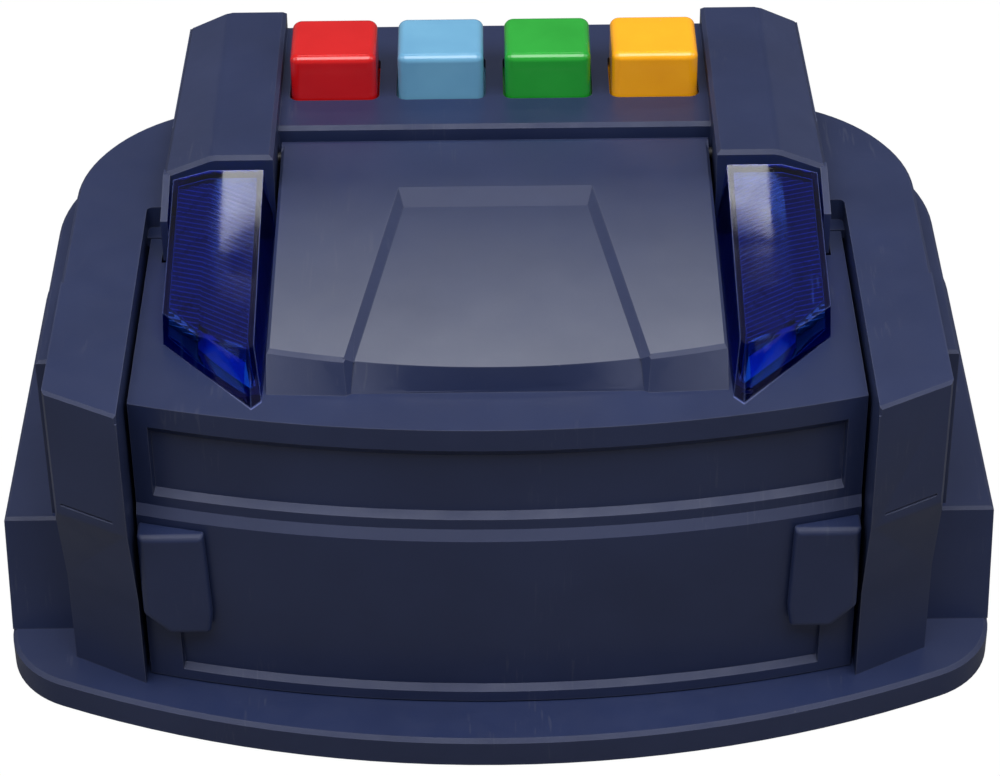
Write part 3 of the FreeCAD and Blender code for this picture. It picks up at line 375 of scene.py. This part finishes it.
def merged_copy(node, name):
    """A copy of a CAD node with its loose triangles merged into clean flat faces."""
    copy = nodes[node].copy()
    copy.data = nodes[node].data.copy()
    copy.name = name
    copy.data.name = name
    for key in list(copy.keys()):
        del copy[key]
    copy.parent = None
    scene.collection.objects.link(copy)
    only(copy)
    bpy.ops.object.mode_set(mode="EDIT")
    bpy.ops.mesh.select_all(action="SELECT")
    bpy.ops.mesh.remove_doubles(threshold=0.002 * MM)
    bpy.ops.mesh.customdata_custom_splitnormals_clear()
    bpy.ops.mesh.dissolve_limited(angle_limit=math.radians(1.0))
    bpy.ops.object.mode_set(mode="OBJECT")
    return copy


def softened(node, body, width, segments, sharpest=30.0):
    """Stands for a moulded piece, with every edge sharper than an angle rounded a little."""
    piece = merged_copy(node, node + "_soft")
    apply(piece, "BEVEL", width=width, segments=segments, limit_method="ANGLE",
          angle_limit=math.radians(sharpest), use_clamp_overlap=True, harden_normals=False)
    only(piece)
    bpy.ops.object.shade_smooth_by_angle(angle=math.radians(40))
    apply(piece, "WEIGHTED_NORMAL", weight=100, keep_sharp=True)
    paint(piece, finish_of[node])
    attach(piece, body)
    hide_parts(node)
    return piece


softened("main_housing", "case", shell_edge, 3)
softened("rear_console", "case", console_edge, 3)
softened("base_tray", "case", shell_edge, 2)
softened("lid_shell", "lid", lid_edge, 3, lid_sharpest)
for side in ("right", "left"):
    softened("lift_tab_" + side, "lid", tab_edge, 4)
    lens_cover = softened("lamp_lens_" + side, "lid", lens_edge, 3)
    # Painted shade: faces that look forward take the darker copy of the lens blue.
    paint(lens_cover, blue_lens, blue_lens_front_painted_shade)
    for face in lens_cover.data.polygons:
        face.material_index = 1 if face.normal.y < lens_front_facing else 0
for colour in key_finishes:
    softened("key_" + colour, "key_" + colour, key_edge, 2)
    dome = softened("contact_dome_" + colour, "case", dome_edge, 2)
    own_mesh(dome)


# Ribbed reflectors under the clear lenses, in millimetres where no unit is given

lens_back = 5.0
lens_crease = 72.0
lens_rear_height = 112.0
lens_fall = 0.237
lens_side_fall = 0.29
rib_turn = math.radians(28.0)
rib_depth = 0.6 * MM
rib_thickness = 0.8 * MM
rib_under = 2.3
rib_inner = 60.1
rib_outer = 79.5
rib_front_inner = -55.0
rib_front_crease = -47.4
rib_front_outer = -36.8
rib_back_margin = 1.8
sheet_middle = -20.0
sheet_size = 80.0 * MM
sheet_rows = 114
sheet_cuts = 12
glow_thickness = 0.5 * MM
glow_corners = [(58.8, -62.5, 93.0), (79.4, -39.0, 92.8), (60.2, -55.0, 95.3), (79.4, -36.7, 97.4)]


def move_vertices(piece, numbers, move):
    """Select these vertices alone and move them."""
    only(piece)
    bpy.ops.object.mode_set(mode="EDIT")
    bpy.ops.mesh.select_mode(type="VERT")
    bpy.ops.mesh.select_all(action="DESELECT")
    bpy.ops.object.mode_set(mode="OBJECT")
    for number in numbers:
        piece.data.vertices[number].select = True
    bpy.ops.object.mode_set(mode="EDIT")
    bpy.ops.transform.translate(value=move)
    bpy.ops.object.mode_set(mode="OBJECT")


def trimmed(piece, spot, outward):
    """Cut away what lies beyond a plane, and close the cut."""
    only(piece)
    bpy.ops.object.mode_set(mode="EDIT")
    bpy.ops.mesh.select_all(action="SELECT")
    bpy.ops.mesh.bisect(plane_co=spot, plane_no=outward, clear_outer=True, use_fill=True)
    bpy.ops.object.mode_set(mode="OBJECT")


def ribbed_sheet(name, side_fall, inner, outer, front_inner, front_outer):
    """One ribbed facet under the right lens, between two widths and behind a slanting front."""
    bpy.ops.object.select_all(action="DESELECT")
    bpy.ops.mesh.primitive_grid_add(x_subdivisions=1, y_subdivisions=sheet_rows, size=sheet_size)
    piece = bpy.context.active_object
    piece.name = name
    valleys = [number for number in range(len(piece.data.vertices)) if (number // 2) % 2 == 1]
    move_vertices(piece, valleys, (0, 0, -rib_depth))
    # Painted shade and painted highlight: alternate rib faces take the dark and the pale copy.
    paint(piece, lens_rib_painted_shade, lens_rib_painted_highlight)
    for face in piece.data.polygons:
        face.material_index = 1 - face.index % 2
    apply(piece, "SOLIDIFY", thickness=rib_thickness, offset=-1)
    upright = Vector((side_fall, -lens_fall, 1)).normalized()
    tilt = Vector((0, 0, 1)).rotation_difference(upright).to_matrix().to_4x4()
    height = lens_rear_height - lens_fall * (lens_back - sheet_middle) - rib_under
    spot = Vector((lens_crease, sheet_middle, height)) * MM
    piece.matrix_world = Matrix.Translation(spot) @ tilt @ Matrix.Rotation(rib_turn, 4, "Z")
    bpy.ops.object.transform_apply(location=True, rotation=True, scale=True)
    front = Vector((outer - inner, front_outer - front_inner, 0))
    trimmed(piece, (inner * MM, 0, 0), (-1, 0, 0))
    trimmed(piece, (outer * MM, 0, 0), (1, 0, 0))
    trimmed(piece, (0, (lens_back - rib_back_margin) * MM, 0), (0, 1, 0))
    trimmed(piece, (inner * MM, front_inner * MM, 0), (front.y, -front.x, 0))
    return piece


def drawn_sheet(name, corners, thickness):
    """A four-cornered sheet, each corner moved to its place, then given a thickness."""
    bpy.ops.object.select_all(action="DESELECT")
    bpy.ops.mesh.primitive_plane_add(size=MM)
    piece = bpy.context.active_object
    piece.name = name
    for number, corner in enumerate(corners):
        move_vertices(piece, [number], Vector(corner) * MM - piece.data.vertices[number].co)
    bpy.ops.object.mode_set(mode="EDIT")
    bpy.ops.mesh.select_all(action="SELECT")
    bpy.ops.mesh.subdivide(number_cuts=sheet_cuts)
    bpy.ops.object.mode_set(mode="OBJECT")
    apply(piece, "SOLIDIFY", thickness=thickness, offset=-1)
    return piece


def lens_reflector():
    """The ribbed insert of the right lens: two facets and a plain front sheet whose paler blue is painted
    light inside the lens front.
    """
    facets = [
        ribbed_sheet("inner_ribs", 0.0, rib_inner, lens_crease, rib_front_inner, rib_front_crease),
        ribbed_sheet("outer_ribs", lens_side_fall, lens_crease, rib_outer, rib_front_crease, rib_front_outer),
        drawn_sheet("front_painted_glow", glow_corners, glow_thickness),
    ]
    paint(facets[2], lens_front_painted_glow)
    only(facets[0])
    for facet in facets[1:]:
        facet.select_set(True)
    bpy.ops.object.join()
    return bpy.context.active_object


def finished_pair(piece, name, body):
    """Names a right-hand piece, mirrors it to the left, and fixes both to a body."""
    piece.name = name + "_right"
    only(piece)
    bpy.ops.object.duplicate()
    mirrored = bpy.context.active_object
    mirrored.name = name + "_left"
    bpy.ops.transform.resize(value=(-1, 1, 1), center_override=(0, 0, 0))
    bpy.ops.object.transform_apply(location=True, rotation=True, scale=True)
    for side in (piece, mirrored):
        only(side)
        bpy.ops.object.mode_set(mode="EDIT")
        bpy.ops.mesh.select_all(action="SELECT")
        bpy.ops.mesh.normals_make_consistent(inside=False)
        bpy.ops.object.mode_set(mode="OBJECT")
        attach(side, body)


finished_pair(lens_reflector(), "lens_reflector", "lid")


# Slopes along the sides of the keystone field, in millimetres

crease_place = -64.0
crease_height = 100.0
hood_rise = 6.5
hood_run = 90.0
keystone_front_half = 37.0
keystone_narrowing = 12.5
keystone_run = 71.0
slope_front = -60.6
slope_front_step = 0.6
slope_rear = 6.8
slope_floor_rear = 1.0
slope_depth = 1.75
slope_width = 2.4
slope_thickness = 0.3 * MM


def hood_height(y):
    """Height of the hood's top at this depth, from its front crease to the hinge."""
    return crease_height + hood_rise * (y - crease_place) / hood_run


def keystone_edge(y):
    """Half the width of the keystone field at this depth."""
    return keystone_front_half - keystone_narrowing * (y - crease_place) / keystone_run


def keystone_slope():
    """The right slope, from the hood's surface down to the sunken field."""
    floor_front = keystone_edge(slope_front) - slope_width
    floor_rear = keystone_edge(slope_floor_rear) - slope_width
    corners = [
        (floor_front, slope_front + slope_front_step, hood_height(slope_front) - slope_depth),
        (keystone_edge(slope_front), slope_front, hood_height(slope_front)),
        (floor_rear, slope_floor_rear, hood_height(slope_floor_rear) - slope_depth),
        (keystone_edge(slope_rear), slope_rear, hood_height(slope_rear)),
    ]
    piece = drawn_sheet("keystone_slope", corners, slope_thickness)
    paint(piece, navy_lid)
    return piece


finished_pair(keystone_slope(), "keystone_slope", "lid")


# Floor, light and camera

def paper(name):
    """A pale floor that the camera sees as white, with a faint shadow left on it."""
    material, tree, shader = new_material(name)
    shader.inputs["Base Color"].default_value = (0.12, 0.12, 0.12, 1)
    shader.inputs["Roughness"].default_value = 0.9
    glow = add_node(tree, "ShaderNodeEmission", Color=(1, 1, 1, 1), Strength=1.06)
    path = tree.nodes.new("ShaderNodeLightPath")
    mix = tree.nodes.new("ShaderNodeMixShader")
    tree.links.new(window(tree, path.outputs["Is Camera Ray"], 0.0, 1.0, 0.0, 0.94), mix.inputs["Fac"])
    tree.links.new(shader.outputs["BSDF"], mix.inputs[1])
    tree.links.new(glow.outputs["Emission"], mix.inputs[2])
    tree.links.new(mix.outputs["Shader"], tree.nodes["Material Output"].inputs["Surface"])
    return material


bpy.ops.object.select_all(action="DESELECT")
bpy.ops.mesh.primitive_plane_add(size=6.0, location=(0, 0, 0))
floor = bpy.context.active_object
floor.name = "floor"
floor.data.materials.append(paper("floor_paper"))


def white_room(strength):
    """The world: white where it is seen, and a plain soft light on the object."""
    world = bpy.data.worlds.new("room")
    scene.world = world
    world.use_nodes = True
    tree = world.node_tree
    background = tree.nodes["Background"]
    background.inputs["Color"].default_value = (1, 1, 1, 1)
    path = tree.nodes.new("ShaderNodeLightPath")
    seen = path.outputs["Is Camera Ray"]
    tree.links.new(window(tree, seen, 0.0, 1.0, strength, 1.0), background.inputs["Strength"])


def soft_box(name, place, aim, size, power):
    light = bpy.data.lights.new(name, "AREA")
    light.shape = "RECTANGLE"
    light.size = size[0]
    light.size_y = size[1]
    light.energy = power
    lamp = bpy.data.objects.new(name, light)
    scene.collection.objects.link(lamp)
    lamp.location = place
    direction = Vector(aim) - Vector(place)
    lamp.rotation_euler = direction.to_track_quat("-Z", "Y").to_euler()
    return lamp


white_room(0.20)
soft_box("top_light", (0.0, -0.45, 1.15), (0, -0.2, 0), (1.5, 0.8), 22.0)
soft_box("over_light", (0.0, 0.02, 1.2), (0, 0.0, 0.1), (1.2, 0.12), 1.5)
soft_box("rear_light", (0.0, 0.625, 1.11), (0, 0, 0.10), (0.6, 0.08), 0.9)
for side in (-1, 1):
    soft_box("side_light", (1.1 * side, -0.1, 0.8), (0, 0, 0.06), (0.7, 0.7), 3.0)

photo_width = 1000.0
photo_focal = 3200.0
sensor = 36.0
camera_place = Vector((0.6, -679.0, 540.3)) * MM
camera_elevation = math.radians(36.0)
camera_roll = math.radians(0.65)

lens = bpy.data.cameras.new("photo_camera")
lens.sensor_fit = "HORIZONTAL"
lens.sensor_width = sensor
lens.lens = sensor * photo_focal / photo_width
camera = bpy.data.objects.new("photo_camera", lens)
scene.collection.objects.link(camera)
look = Matrix.Rotation(math.radians(90) - camera_elevation, 4, "X")
camera.matrix_world = Matrix.Translation(camera_place) @ look @ Matrix.Rotation(-camera_roll, 4, "Z")
scene.camera = camera
